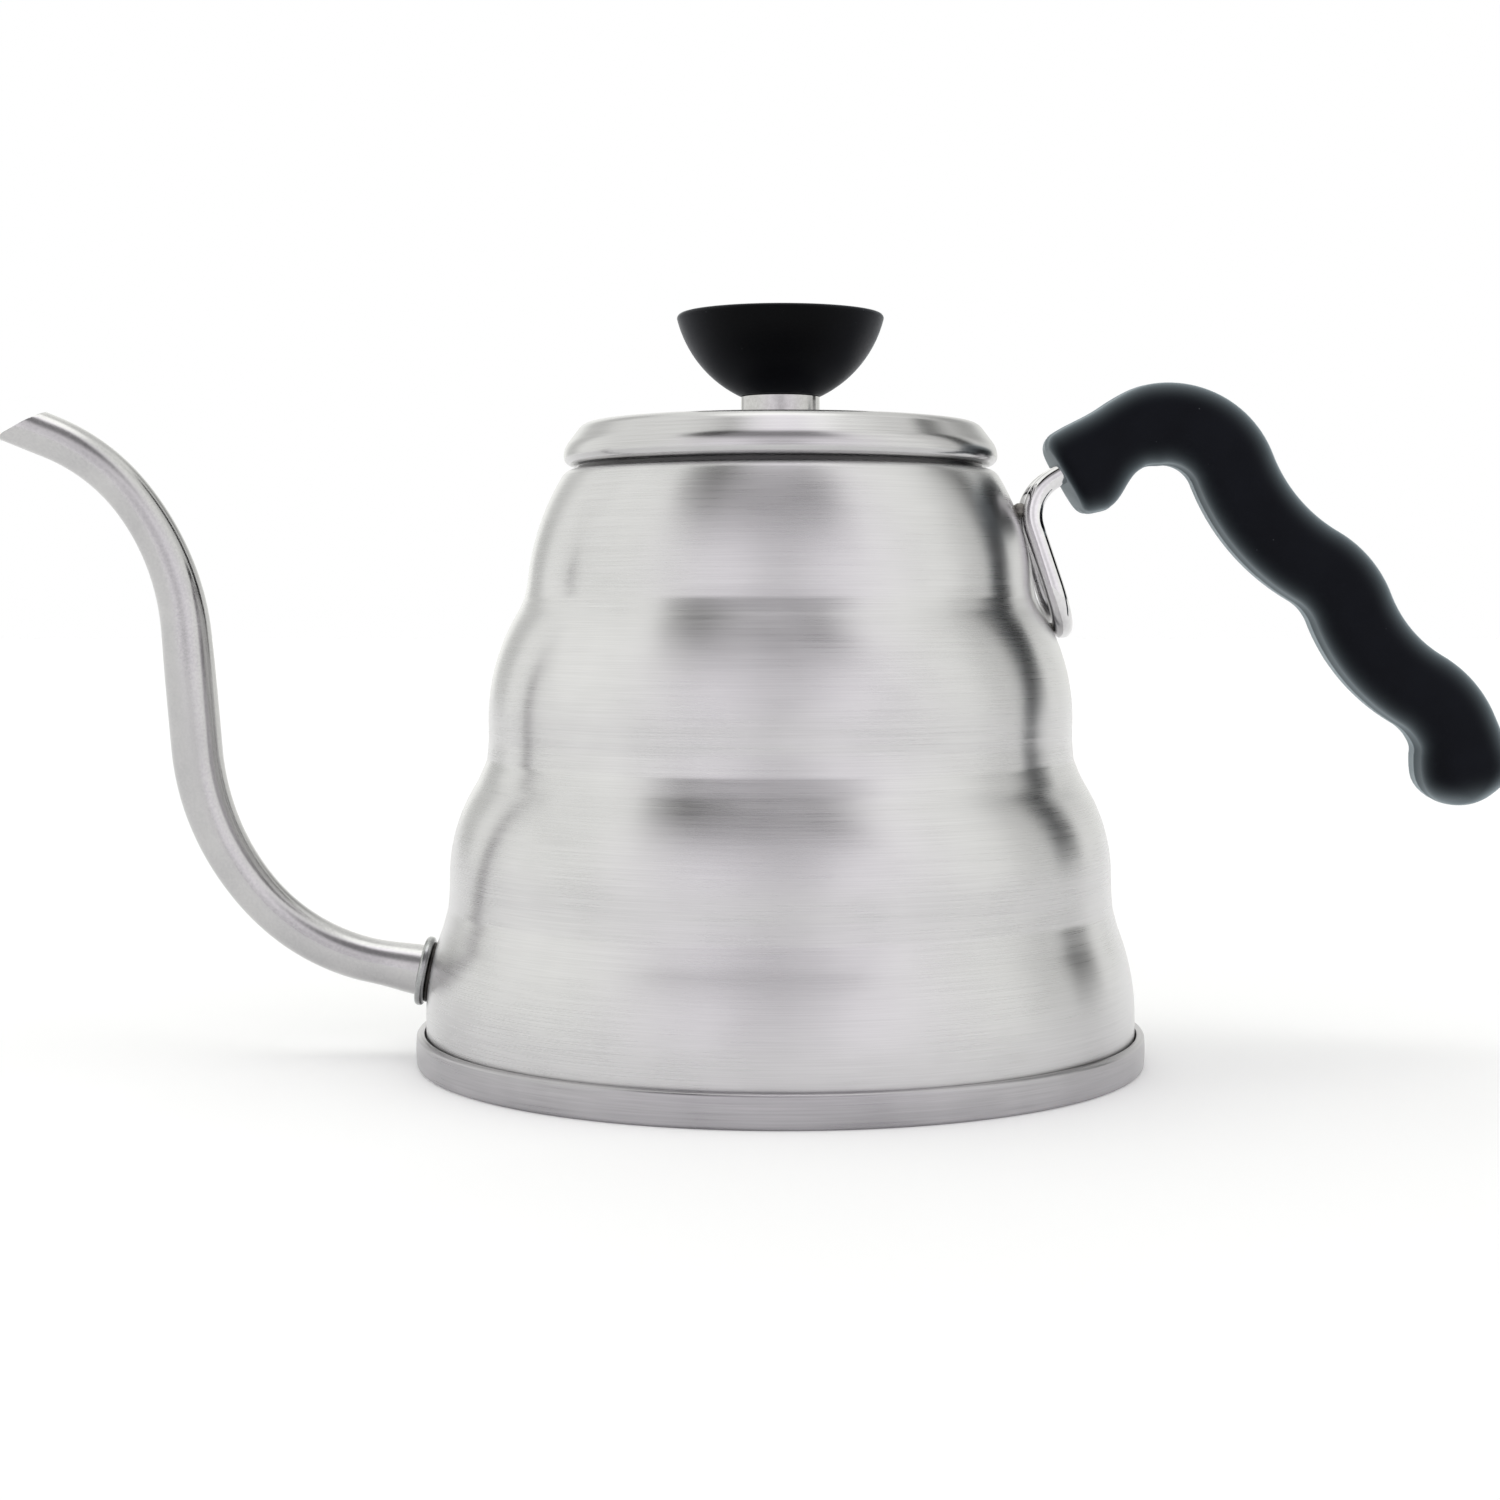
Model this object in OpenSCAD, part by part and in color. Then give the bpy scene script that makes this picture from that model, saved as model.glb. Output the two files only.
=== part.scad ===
// Stove-top gooseneck kettle, millimetres, +Z up.
// Origin: on the body's axis, on the surface that the kettle stands on. The spout points to -X.

/* [Body] */
// Height of the shoulder's top, where the lid rests
body_h = 116.5; // [112:0.5:150]
// Thickness of the body's sheet
wall = 0.8; // [0.6:0.1:1.2]
// Largest radius of the lowest tier
tier1_r = 70; // [68:0.5:86]
// Largest radius of the second tier
tier2_r = 65.2; // [62:0.1:70]
// Largest radius of the third tier
tier3_r = 57.5; // [53:0.1:62]
// Largest radius of the top tier
tier4_r = 49.9; // [46:0.1:54]
// Curve of the lowest tier's wall
tier1_curve = 45.8; // [38:0.1:56]
// Curve of the second tier's wall
tier2_curve = 33.4; // [28:0.1:40]
// Curve of the third tier's wall
tier3_curve = 40.6; // [34:0.1:48]
// Curve of the top tier's wall
tier4_curve = 48.2; // [40:0.1:56]
// Height from the lowest tier's widest line to the second's
tier12_pitch = 27.6; // [24:0.1:33]
// Height from the second tier's widest line to the third's
tier23_pitch = 30.6; // [27:0.1:36]
// Height from the third tier's widest line to the top one's
tier34_pitch = 22.4; // [20:0.1:27]
// Height from the top tier's widest line to the shoulder's top
shoulder_h = 26.4; // [23:0.1:30]
// Fillet in the waist between the first and second tiers
waist1_r = 32.7; // [26:0.1:40]
// Fillet in the waist between the second and third tiers
waist2_r = 20; // [16:0.1:24]
// Fillet in the waist between the third and top tiers
waist3_r = 16.2; // [13:0.1:20]
// Radius that rolls the shoulder over
shoulder_roll = 3; // [2:0.1:4]

/* [Mouth] */
// Width of the flat land that the lid rests on
land_w = 1.2; // [1:0.1:2]
// Radius that turns the land down into the neck
neck_bend = 1.6; // [1.3:0.1:2.4]
// Depth of the neck below the land
neck_h = 5; // [4:0.1:8]

/* [Base] */
// Thickness of the bottom plate
base_t = 0.8; // [0.6:0.1:1.2]
// How far the foot ring stands out past the wall
ring_w = 2; // [1.8:0.1:3]
// Height of the foot ring
ring_h = 6.4; // [5:0.1:8]
// Rounding of the foot ring's lip
ring_round = 0.8; // [0.5:0.1:0.9]
// Height of the sealing compound in the seam
seal_h = 1; // [0.6:0.1:1.5]

/* [Spout] */
// Outer diameter of the tube at its root
spout_root_d = 10.2; // [9.6:0.1:12]
// Outer diameter of the tube in its lower bend
spout_low_d = 8.8; // [8:0.1:10.5]
// Outer diameter of the tube halfway up
spout_mid_d = 10; // [9:0.1:12]
// Outer diameter of the tube at its tip
spout_tip_d = 8.5; // [8:0.1:10.5]
// Thickness of the tube's wall
spout_wall = 0.7; // [0.5:0.1:0.9]
// Height of the tube's axis where it leaves the wall
spout_root_z = 17; // [15:0.5:21]
// How far the tube's root rises above square to the wall, in degrees
spout_lift_a = 1.6; // [0:0.1:4]
// Straight length at the root
spout_root_l = 11.2; // [9:0.1:14]
// Radius of the lower bend
spout_bend1_r = 40.9; // [36:0.1:48]
// Radius of the bend into the riser
spout_bend2_r = 50; // [42:0.5:60]
// Radius of the bend out of the riser
spout_bend3_r = 50; // [42:0.5:60]
// Radius of the top bend
spout_bend4_r = 38; // [32:0.1:44]
// How far the tip's centre stands above the shoulder's top
spout_over = 8.8; // [4:0.1:14]
// Diameter of the flange at the root
flange_d = 13.9; // [13.4:0.1:17]
// Thickness of the flange
flange_t = 1.8; // [1.4:0.1:2.4]

/* [Handle] */
// Diameter of the handle's wire
wire_d = 4; // [3.2:0.1:5]
// Distance between the wire's legs at the grip
leg_gap = 9; // [8:0.1:11]
// Distance between the wire's legs at the foot of the loop
loop_w = 19; // [17:0.5:24]
// Depth of the upper weld below the shoulder's top
weld_top_drop = 8; // [6:0.1:10]
// Depth of the loop's foot below the shoulder's top
loop_drop = 31; // [28:0.1:34]
// Heading of the wire into the grip, above level
wire_rise_a = 31; // [26:0.5:36]
// Length of the wire from its bend to the grip's face
wire_neck_l = 10.7; // [9:0.1:13]
// Depth of the bores that hold the wire in the grip
wire_bore_l = 20; // [14:0.5:21]
// Height of the grip's cross-section
grip_h = 15.9; // [14:0.1:19]
// Width of the grip's cross-section
grip_w = 20; // [17:0.5:24]
// Rounding of the grip's edges
grip_round = 5.5; // [4:0.1:6.5]

/* [Lid] */
// Thickness of the lid's sheet
lid_t = 0.8; // [0.6:0.1:1]
// How far the lid's brim stands out past the land
brim_over = 2.2; // [1.5:0.1:3.5]
// Height of the brim's widest line above the land
brim_h = 2.5; // [2.4:0.1:3.5]
// Height of the lid's top above the land
lid_h = 10.2; // [9.6:0.1:13]
// Depth of the friction skirt below the land
skirt_h = 13; // [8:0.5:18]
// Gap between the skirt and the neck
skirt_gap = 0.3; // [0.2:0.05:0.5]
// Diameter of the steam vent
vent_d = 3; // [2:0.1:4]

/* [Knob] */
// Diameter of the polished collar
collar_d = 15.5; // [13:0.1:19]
// Height of the polished collar
collar_h = 4.3; // [3.4:0.1:6]
// Diameter of the knob
knob_d = 40.6; // [34:0.1:48]
// Height of the knob
knob_h = 16; // [14:0.1:20]
// Diameter of the knob's screw
screw_d = 4; // [3:0.1:5]
// Diameter of the brass insert
insert_d = 7; // [6.4:0.1:8]
// Length of the brass insert
insert_l = 9; // [7:0.1:11]

/* [Hidden] */
$fn = 96;
// Overshoot of a cutting shape past the face that it cuts
cut = 1;
// Clearance round a tube or wire in its hole
fit_gap = 0.05;

// ---- plane geometry ----
// A path is a list of [r, z, heading], and a stretch is [radius, turn, steps] or [length, 0, 1].

function unit(v) = v / norm(v);
function angle_of(v) = atan2(v.y, v.x);
function full_angle(v) = (angle_of(v) + 360) % 360;
function left_of(h) = [-sin(h), cos(h)];

// Points of one stretch that starts at p with heading h
function stretch(p, h, s) =
    s[1] == 0
    ? [[p.x + s[0] * cos(h), p.y + s[0] * sin(h), h]]
    : let (side = sign(s[1]), c = p + side * s[0] * left_of(h))
      [for (i = [1:s[2]]) let (hi = h + s[1] * i / s[2], q = c - side * s[0] * left_of(hi)) [q.x, q.y, hi]];

// Path of stretches that follow each other with no corner between them
function path(p, h, stretches, i = 0) =
    i == len(stretches) ? [[p.x, p.y, h]]
    : let (run = stretch(p, h, stretches[i]), last = run[len(run) - 1])
      concat([[p.x, p.y, h]],
             [for (k = [0:1:len(run) - 2]) run[k]],
             path([last.x, last.y], last.z, stretches, i + 1));

// Points of a path moved sideways to its left
function shifted(line, by) = [for (q = line) [q.x, q.y] + by * left_of(q.z)];
function flat(line) = [for (q = line) [q.x, q.y]];
function reversed(list) = [for (i = [len(list) - 1:-1:0]) list[i]];
function sum_to(list, n) = n <= 0 ? 0 : list[n - 1] + sum_to(list, n - 1);
function length_along(line) =
    let (steps = [for (i = [1:len(line) - 1]) norm([line[i].x - line[i - 1].x, line[i].y - line[i - 1].y])])
    [for (i = [0:len(steps)]) sum_to(steps, i)];

// Value that eases between [place, value] stations
function eased(s, stations, i = 0) =
    i == len(stations) - 1 ? stations[i][1]
    : s <= stations[i][0] ? stations[i][1]
    : s < stations[i + 1][0]
      ? let (t = (s - stations[i][0]) / (stations[i + 1][0] - stations[i][0]), e = (1 - cos(180 * t)) / 2)
        stations[i][1] * (1 - e) + stations[i + 1][1] * e
      : eased(s, stations, i + 1);

// Skin over closed rings of equal count, with flat ends
module skin(rings) {
    n = len(rings[0]);
    last = (len(rings) - 1) * n;
    polyhedron(
        points = [for (ring = rings) each ring],
        faces = concat(
            [[for (k = [0:n - 1]) k]],
            [for (i = [0:len(rings) - 2], k = [0:n - 1])
                each [[i * n + k, (i + 1) * n + k, (i + 1) * n + (k + 1) % n],
                      [i * n + k, (i + 1) * n + (k + 1) % n, i * n + (k + 1) % n]]],
            [[for (k = [n - 1:-1:0]) last + k]]));
}

// ---- body profile ----
tier4_z = body_h - shoulder_h;
tier3_z = tier4_z - tier34_pitch;
tier2_z = tier3_z - tier23_pitch;
tier1_z = tier2_z - tier12_pitch;
TIERS = [[tier1_r, tier1_z, tier1_curve], [tier2_r, tier2_z, tier2_curve],
         [tier3_r, tier3_z, tier3_curve], [tier4_r, tier4_z, tier4_curve]];
WAISTS = [waist1_r, waist2_r, waist3_r];
TOP_TIER = len(TIERS) - 1;
ARC_STEPS = 8;

function tier_centre(k) = [TIERS[k][0] - TIERS[k][2], TIERS[k][1]];
// A waist's centre lies where it touches the tiers above and below from outside
function waist_centre(k) =
    let (a = tier_centre(k), b = tier_centre(k + 1),
         ra = TIERS[k][2] + WAISTS[k], rb = TIERS[k + 1][2] + WAISTS[k],
         d = norm(b - a), along = (ra * ra - rb * rb + d * d) / (2 * d), u = (b - a) / d)
    a + along * u + sqrt(ra * ra - along * along) * [u.y, -u.x];

shoulder_a = asin((shoulder_h - shoulder_roll) / (tier4_curve - shoulder_roll));
roll_r = tier_centre(TOP_TIER).x + (tier4_curve - shoulder_roll) * cos(shoulder_a);
function tier_from(k) = k == 0 ? 0 : angle_of(waist_centre(k - 1) - tier_centre(k));
function tier_to(k) = k == TOP_TIER ? shoulder_a : angle_of(waist_centre(k) - tier_centre(k));

// Outer line of the wall, from the lowest tier's widest line to the shoulder's top
WALL_LINE = concat(
    [for (k = [0:TOP_TIER]) each concat(
        let (from = tier_from(k), to = tier_to(k), c = tier_centre(k))
        [for (i = [0:ARC_STEPS]) let (a = from + (to - from) * i / ARC_STEPS)
            [c.x + TIERS[k][2] * cos(a), c.y + TIERS[k][2] * sin(a), a + 90]],
        k == TOP_TIER ? [] :
        let (c = waist_centre(k), from = full_angle(tier_centre(k) - c),
             to = full_angle(tier_centre(k + 1) - c))
        [for (i = [1:ARC_STEPS - 1]) let (a = from + (to - from) * i / ARC_STEPS)
            [c.x + WAISTS[k] * cos(a), c.y + WAISTS[k] * sin(a), a - 90]])],
    [for (i = [1:4]) let (a = shoulder_a + (90 - shoulder_a) * i / 4)
        [roll_r + shoulder_roll * cos(a), body_h - shoulder_roll + shoulder_roll * sin(a), a + 90]]);

// Outer radius of the wall at a height
WALL_TABLE = [for (q = WALL_LINE) [q.y, q.x]];
function wall_r(z) = lookup(z, WALL_TABLE);
// Slope of the wall's normal above level at a height on the lowest tier
function wall_slope(z) = asin(max(0, z - tier1_z) / tier1_curve);

mouth_r = roll_r - land_w - neck_bend;
flange_z = base_t;
flange_out = tier1_r + 1.2;

module body_shell() color("silver") difference() {
    rotate_extrude() polygon(shell_outline());
    // Hole that the spout's tube passes through
    at_spout_root() cylinder(r = spout_root_d / 2 + fit_gap, h = 8, center = true);
}

// Closed outline of the body's sheet, with the seam's flange at its foot
function shell_outline() =
    let (neck = path([mouth_r + neck_bend, body_h], 180, [[neck_bend, 90, 5], [neck_h - neck_bend, 0, 1]]),
         line = concat(WALL_LINE, neck),
         foot_top = flange_z + wall)
    concat([[flange_out, flange_z], [flange_out, foot_top], [tier1_r, foot_top]],
           flat(line), reversed(shifted(line, wall)), [[tier1_r - wall, flange_z]]);

// ---- base ----
ring_r = tier1_r + ring_w;
seam_gap = 0.3;
seal_top = flange_z + wall + seal_h;

module base_plate() color("gainsboro") cylinder(r = flange_out, h = base_t);

// Rolled band that holds the plate's edge, the shell's flange and the compound together
module foot_ring() color("gainsboro") rotate_extrude()
    polygon(concat(
        [[flange_out, 0]],
        flat(path([ring_r - ring_round, 0], 0,
             [[ring_round, 90, 6], [ring_h - 2 * ring_round, 0, 1], [ring_round, 90, 6]])),
        [[tier1_r + seam_gap + 0.4, ring_h], [tier1_r + seam_gap, ring_h - 0.4],
         [tier1_r + seam_gap, seal_top], [flange_out, seal_top]]));

module base_seal() color("dimgray") rotate_extrude()
    translate([tier1_r, flange_z + wall]) square([flange_out - tier1_r, seal_h]);

// ---- spout ----
// Paths of the spout lie in the plane y = 0 with distance from the axis as x, and are mirrored to -X
bend1_a = 48;
riser_a = 85.5;
bend3_a = 52;
tip_a = 22;
tip_l = 6;
spout_root = [wall_r(spout_root_z), spout_root_z];
spout_root_a = wall_slope(spout_root_z) + spout_lift_a;
function rise_of(r, a, b) = r * abs(cos(b) - cos(a));
riser_l = (body_h + spout_over - spout_root_z - spout_root_l * sin(spout_root_a)
           - rise_of(spout_bend1_r, spout_root_a, bend1_a) - rise_of(spout_bend2_r, bend1_a, riser_a)
           - rise_of(spout_bend3_r, riser_a, bend3_a) - rise_of(spout_bend4_r, bend3_a, tip_a)
           - tip_l * sin(tip_a)) / sin(riser_a);
SPOUT_LINE = path(spout_root, spout_root_a,
    [[spout_root_l / 2, 0, 1], [spout_root_l / 2, 0, 1],
     [spout_bend1_r, bend1_a - spout_root_a, 8], [spout_bend2_r, riser_a - bend1_a, 8],
     [riser_l / 3, 0, 1], [riser_l / 3, 0, 1], [riser_l / 3, 0, 1],
     [spout_bend3_r, bend3_a - riser_a, 7], [spout_bend4_r, tip_a - bend3_a, 6],
     [tip_l, 0, 1], [1.2 * spout_tip_d, 0, 1]]);
SPOUT_S = length_along(SPOUT_LINE);
spout_l = SPOUT_S[len(SPOUT_S) - 1] - 1.2 * spout_tip_d;
SPOUT_STATIONS = [[0, spout_root_d], [12, spout_low_d], [31, spout_low_d], [0.5 * spout_l, spout_mid_d],
                  [0.55 * spout_l, spout_mid_d], [0.84 * spout_l, spout_tip_d - 0.1], [spout_l, spout_tip_d]];
SPOUT_SIDES = 28;
// Where the tube ends behind the wall's inner face, so that its end is flush inside
spout_tail = 1.2;

function round_ring(q, r, n) = [for (k = [0:n - 1]) let (a = 360 * k / n)
    [-(q.x - sin(q.z) * r * cos(a)), r * sin(a), q.y + cos(q.z) * r * cos(a)]];
function spout_rings(shrink, extra) = concat(
    [round_ring([spout_root.x - (spout_tail + extra) * cos(spout_root_a),
                 spout_root.y - (spout_tail + extra) * sin(spout_root_a), spout_root_a],
                spout_root_d / 2 - shrink, SPOUT_SIDES)],
    [for (i = [0:len(SPOUT_LINE) - 1])
        round_ring(SPOUT_LINE[i], eased(SPOUT_S[i], SPOUT_STATIONS) / 2 - shrink, SPOUT_SIDES)]);

// Slanted cut at the tip, the lower lip standing out past the upper one
tip_cut_a = 29;
tip_i = len(SPOUT_LINE) - 2;
module tip_cutter() translate([-SPOUT_LINE[tip_i].x, 0, SPOUT_LINE[tip_i].y])
    rotate([0, -tip_cut_a, 0]) translate([-30, -15, 0]) cube([60, 30, 40]);

module spout_tube() color("silver") difference() {
    skin(spout_rings(0, 0));
    skin(spout_rings(spout_wall, cut));
    tip_cutter();
}

// Puts +Z along the tube's axis where it leaves the wall
module at_spout_root() translate([-spout_root.x, 0, spout_root.y])
    rotate([0, spout_root_a - 90, 0]) children();

flange_gap = 0.4;
module spout_flange() color("lightgray") at_spout_root() translate([0, 0, flange_gap]) rotate_extrude()
    polygon(concat(
        [[spout_root_d / 2 + fit_gap, 0]],
        flat(path([flange_d / 2 - 0.7, 0], 0, [[0.7, 90, 5], [flange_t - 1.4, 0, 1], [0.7, 90, 5]])),
        [[spout_root_d / 2 + fit_gap, flange_t]]));

module spout_weld() color("gray") at_spout_root() translate([0, 0, -0.5]) difference() {
    cylinder(r = spout_root_d / 2 + 0.8, h = flange_gap + 0.6);
    translate([0, 0, -cut]) cylinder(r = spout_root_d / 2 + fit_gap, h = flange_gap + 0.6 + 2 * cut);
}

// ---- handle ----
weld_gap = 0.4;
weld_top_z = body_h - weld_top_drop;
loop_z = body_h - loop_drop;
wire_r = wire_d / 2;
// The legs' corner by the upper welds and the loop's foot, as [x, y, z]
leg_top_x = sqrt(pow(wall_r(weld_top_z) + wire_r + weld_gap, 2) - pow(leg_gap / 2, 2));
loop_x = wall_r(loop_z) + wire_r + 0.3;
leg_slope = (loop_x - leg_top_x) / (weld_top_z - loop_z);
leg_corner_up = 2.7;
LEG_CORNER = [leg_top_x - leg_slope * leg_corner_up, leg_gap / 2, weld_top_z + leg_corner_up];
LOOP_CORNER = [loop_x, loop_w / 2, loop_z];
WIRE_RISE = [cos(wire_rise_a), 0, sin(wire_rise_a)];
WIRE_END = LEG_CORNER + (wire_neck_l + wire_bore_l) * WIRE_RISE;
corner_bend = 8.5;
loop_bend = 8;
WIRE_SIDES = 16;

function other_side(p) = [p.x, -p.y, p.z];
// Points of an arc that rounds the corner b between a and c
function rounded_corner(a, b, c, r, steps) =
    let (u = unit(b - a), v = unit(c - b), turn = acos(u * v), reach = r * tan(turn / 2),
         centre = b + unit(v - u) * r / cos(turn / 2), m = unit(b - u * reach - centre))
    [for (i = [0:steps]) let (t = turn * i / steps) centre + r * (m * cos(t) + u * sin(t))];
WIRE_HALF = concat([WIRE_END], rounded_corner(WIRE_END, LEG_CORNER, LOOP_CORNER, corner_bend, 7),
                   rounded_corner(LEG_CORNER, LOOP_CORNER, other_side(LOOP_CORNER), loop_bend, 8));
WIRE_LINE = concat(WIRE_HALF, [for (p = reversed(WIRE_HALF)) other_side(p)]);

// Direction of travel at each point of a 3-D line
function travel(line, i) = unit(line[min(i + 1, len(line) - 1)] - line[max(i - 1, 0)]);
// Rings carried along a 3-D line without twist
function carried_rings(line, r, n, side, i = 0) =
    i == len(line) ? [] :
    let (t = travel(line, i), u = unit(side - t * (side * t)), w = cross(t, u))
    concat([[for (k = [0:n - 1]) let (a = 360 * k / n) line[i] + r * (u * cos(a) + w * sin(a))]],
           carried_rings(line, r, n, u, i + 1));

module handle_wire() color("silver") skin(carried_rings(WIRE_LINE, wire_r, WIRE_SIDES, [0, 1, 0]));

// Weld nuggets, one by each leg's bend and one at the loop's foot
nugget_r = 1.5;
nugget_out = weld_gap / 2 + 0.5;
foot_weld_r = 1.1;
foot_weld_l = 5;

module handle_welds() color("gray") {
    for (side = [-1, 1]) {
        spot_r = wall_r(weld_top_z) + nugget_out;
        turn = side * asin(leg_gap / 2 / (spot_r + wire_r));
        rotate([0, 0, turn]) translate([spot_r, 0, weld_top_z]) sphere(r = nugget_r);
    }
    translate([wall_r(loop_z), 0, loop_z]) rotate([90, 0, 0])
        cylinder(r = foot_weld_r, h = foot_weld_l, center = true);
}

// The grip's centre line starts just behind the middle of its front face, below the wire
grip_drop = 1.7;
GRIP_START = [LEG_CORNER.x + wire_neck_l * WIRE_RISE.x, LEG_CORNER.z + wire_neck_l * WIRE_RISE.z - grip_drop];
grip_rise_a = 36.6;
GRIP_LINE = path(GRIP_START, grip_rise_a,
    [[3.6, 0, 1], [3.1, 0, 1], [3.1, 0, 1], [3.2, 0, 1], [14.2, -105, 12], [38, 38.3, 8], [16.7, -38.5, 6],
     [32, 38.3, 8], [17, -48.9, 7], [4, 0, 1]]);
GRIP_S = length_along(GRIP_LINE);
grip_l = GRIP_S[len(GRIP_S) - 1];
// Height of the grip above and below its line: a straight back over the front block, with a
// round lobe below it, and a swelling again at the far end
GRIP_END = [[20, grip_h / 2], [grip_l - 20, grip_h / 2], [grip_l - 8, grip_h / 2], [grip_l, grip_h / 2 + 1]];
GRIP_ABOVE = concat([[0, grip_h / 2 + 1], [14, grip_h / 2 - 0.5]], GRIP_END);
GRIP_BELOW = concat([[0, grip_h / 2 + 0.4], [3.6, grip_h / 2 + 1.5], [11.5, grip_h / 2 - 1]], GRIP_END);
front_tilt = 6.3;
front_fade = 12;
face_out = 1.2;
face_round = 2.4;
end_reach = 7.5;
EDGE_STEPS = 4;

// Rounded rectangle across the grip's line, from below it to above it and w wide
function grip_ring(q, above, below, w, r, tilt) =
    let (a0 = q.z - tilt)
    [for (corner = [0:3], i = [0:EDGE_STEPS])
        let (a = 90 * corner + 90 * i / EDGE_STEPS,
             u = (corner == 0 || corner == 3 ? above - r : r - below) + r * cos(a),
             v = (corner < 2 ? 1 : -1) * (w / 2 - r) + r * sin(a))
        [q.x - u * sin(a0), -v, q.y + u * cos(a0)]];
// Ring at s along the line, drawn in by an inset all round
function grip_slice(q, s, inset) =
    let (above = eased(s, GRIP_ABOVE) - inset, below = eased(s, GRIP_BELOW) - inset,
         r = min(max(grip_round - inset, 1), (above + below) / 2 - 0.5),
         tilt = front_tilt * min(1, max(0, 1 - s / front_fade)))
    grip_ring(q, above, below, grip_w - 2 * inset, r, tilt);
function face_slice(a) =
    let (s = face_round * (1 - cos(a)) - face_out)
    grip_slice([GRIP_START.x + s * cos(grip_rise_a), GRIP_START.y + s * sin(grip_rise_a), grip_rise_a],
               s, face_round * (1 - sin(a)));
function end_slice(q, h, a) =
    let (reach = end_reach * sin(a), half = h * cos(a),
         far = [q.x + reach * cos(q.z), q.y + reach * sin(q.z), q.z])
    grip_ring(far, half, half, grip_w - 2 * h * (1 - cos(a)), min(grip_round, half - 0.01), 0);

module grip_solid() skin(concat(
    [for (a = [0, 30, 60, 90]) face_slice(a)],
    [for (i = [1:len(GRIP_LINE) - 1]) grip_slice(GRIP_LINE[i], GRIP_S[i], 0)],
    [for (a = [20, 40, 58, 72, 83]) end_slice(GRIP_LINE[len(GRIP_LINE) - 1], eased(grip_l, GRIP_ABOVE), a)]));

module handle_grip() color("#1c1e24") difference() {
    grip_solid();
    for (side = [-1, 1])
        translate([WIRE_END.x, side * leg_gap / 2, WIRE_END.z])
            rotate([0, -90 - wire_rise_a, 0]) translate([0, 0, -fit_gap])
                cylinder(r = wire_r + fit_gap, h = wire_bore_l + 10);
}

// ---- lid ----
seat_gap = 0.05;
land_z = body_h + seat_gap;
skirt_t = 0.6;
skirt_r = mouth_r - skirt_gap;
cover_z = land_z + skirt_t;
flange_back = 0.7;
// The sheet steps up past the skirt's flange, which leaves an open line under the brim
brim_z = cover_z + 0.3;
brim_low_r = body_h + brim_h - brim_z;
brim_up_r = 4.5;
bevel_a = 127;
bevel_l = 3.3;
knuckle_r = 3.2;
lid_r = roll_r + brim_over;
knuckle_a = 175.7;
LID_EDGE = path([lid_r - brim_low_r, brim_z], 0,
    [[brim_low_r, 90, 6], [brim_up_r, bevel_a - 90, 5], [bevel_l, 0, 1],
     [knuckle_r, knuckle_a - bevel_a, 5]]);
knuckle = LID_EDGE[len(LID_EDGE) - 1];
// The dome is an arc from the knuckle up to the flat that the collar stands on
collar_r = collar_d / 2;
lid_top_z = body_h + lid_h;
dome_flat_r = collar_r + 1;
dome_rise = lid_top_z - knuckle.y;
dome_run = knuckle.x - dome_flat_r;
dome_r = (dome_run * dome_run + dome_rise * dome_rise) / (2 * dome_rise);
LID_LINE = concat(LID_EDGE,
    [for (i = [1:6]) let (a = asin(dome_run / dome_r) * (1 - i / 6))
        [dome_flat_r + dome_r * sin(a), lid_top_z - dome_r * (1 - cos(a)), 180 - a]]);
screw_hole_r = screw_d / 2 + 0.2;
vent_x = 24;

module lid_cover() color("silver") difference() {
    rotate_extrude() polygon(concat(
        [[skirt_r + 1, cover_z], [roll_r - flange_back, cover_z], [roll_r - 0.4, brim_z]], flat(LID_LINE),
        [[screw_hole_r, lid_top_z], [screw_hole_r, lid_top_z - lid_t]],
        reversed(shifted(LID_LINE, lid_t)), [[skirt_r + 1, cover_z + lid_t]]));
    translate([vent_x, 0, lid_top_z - 5]) cylinder(d = vent_d, h = 10);
}

module lid_skirt() color("lightgray") rotate_extrude()
    polygon([[skirt_r - skirt_t, body_h - skirt_h], [skirt_r, body_h - skirt_h], [skirt_r, land_z],
             [roll_r - flange_back, land_z], [roll_r - flange_back, cover_z], [skirt_r - skirt_t, cover_z]]);

// ---- knob ----
collar_z = lid_top_z;
knob_z = collar_z + collar_h;
knob_top = knob_z + knob_h;
knob_foot_r = collar_r + 0.1;
knob_edge = 0.9;
knob_r = knob_d / 2;
dish_depth = 0.5;
dish_in = 2.5;
insert_r = insert_d / 2;

module knob_collar() color("white") translate([0, 0, collar_z]) difference() {
    cylinder(r = collar_r, h = collar_h);
    translate([0, 0, -cut]) cylinder(r = screw_hole_r, h = collar_h + 2 * cut);
}

// Side of the bowl: an arc from the foot, upright where it meets the rim
bowl_rise = knob_h - knob_edge;
bowl_run = knob_r - knob_foot_r;
bowl_end_a = 76;
bowl_chord_a = atan2(bowl_rise, bowl_run);
bowl_turn = 2 * (bowl_end_a - bowl_chord_a);
bowl_r = norm([bowl_rise, bowl_run]) / (2 * sin(bowl_turn / 2));
KNOB_SIDE = path([knob_foot_r, 0], bowl_end_a - bowl_turn, [[bowl_r, bowl_turn, 12]]);

module knob() color("#1c1e24") translate([0, 0, knob_z]) difference() {
    rotate_extrude() polygon(concat(
        [[0, 0]], flat(KNOB_SIDE),
        [for (a = [30, 60, 90])
            [knob_r - knob_edge + knob_edge * cos(a), knob_h - knob_edge + knob_edge * sin(a)]],
        [[knob_r - dish_in, knob_h], [knob_r - 2 * dish_in, knob_h - dish_depth], [0, knob_h - dish_depth]]));
    translate([0, 0, -cut]) cylinder(r = insert_r, h = insert_l + cut);
}

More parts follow.
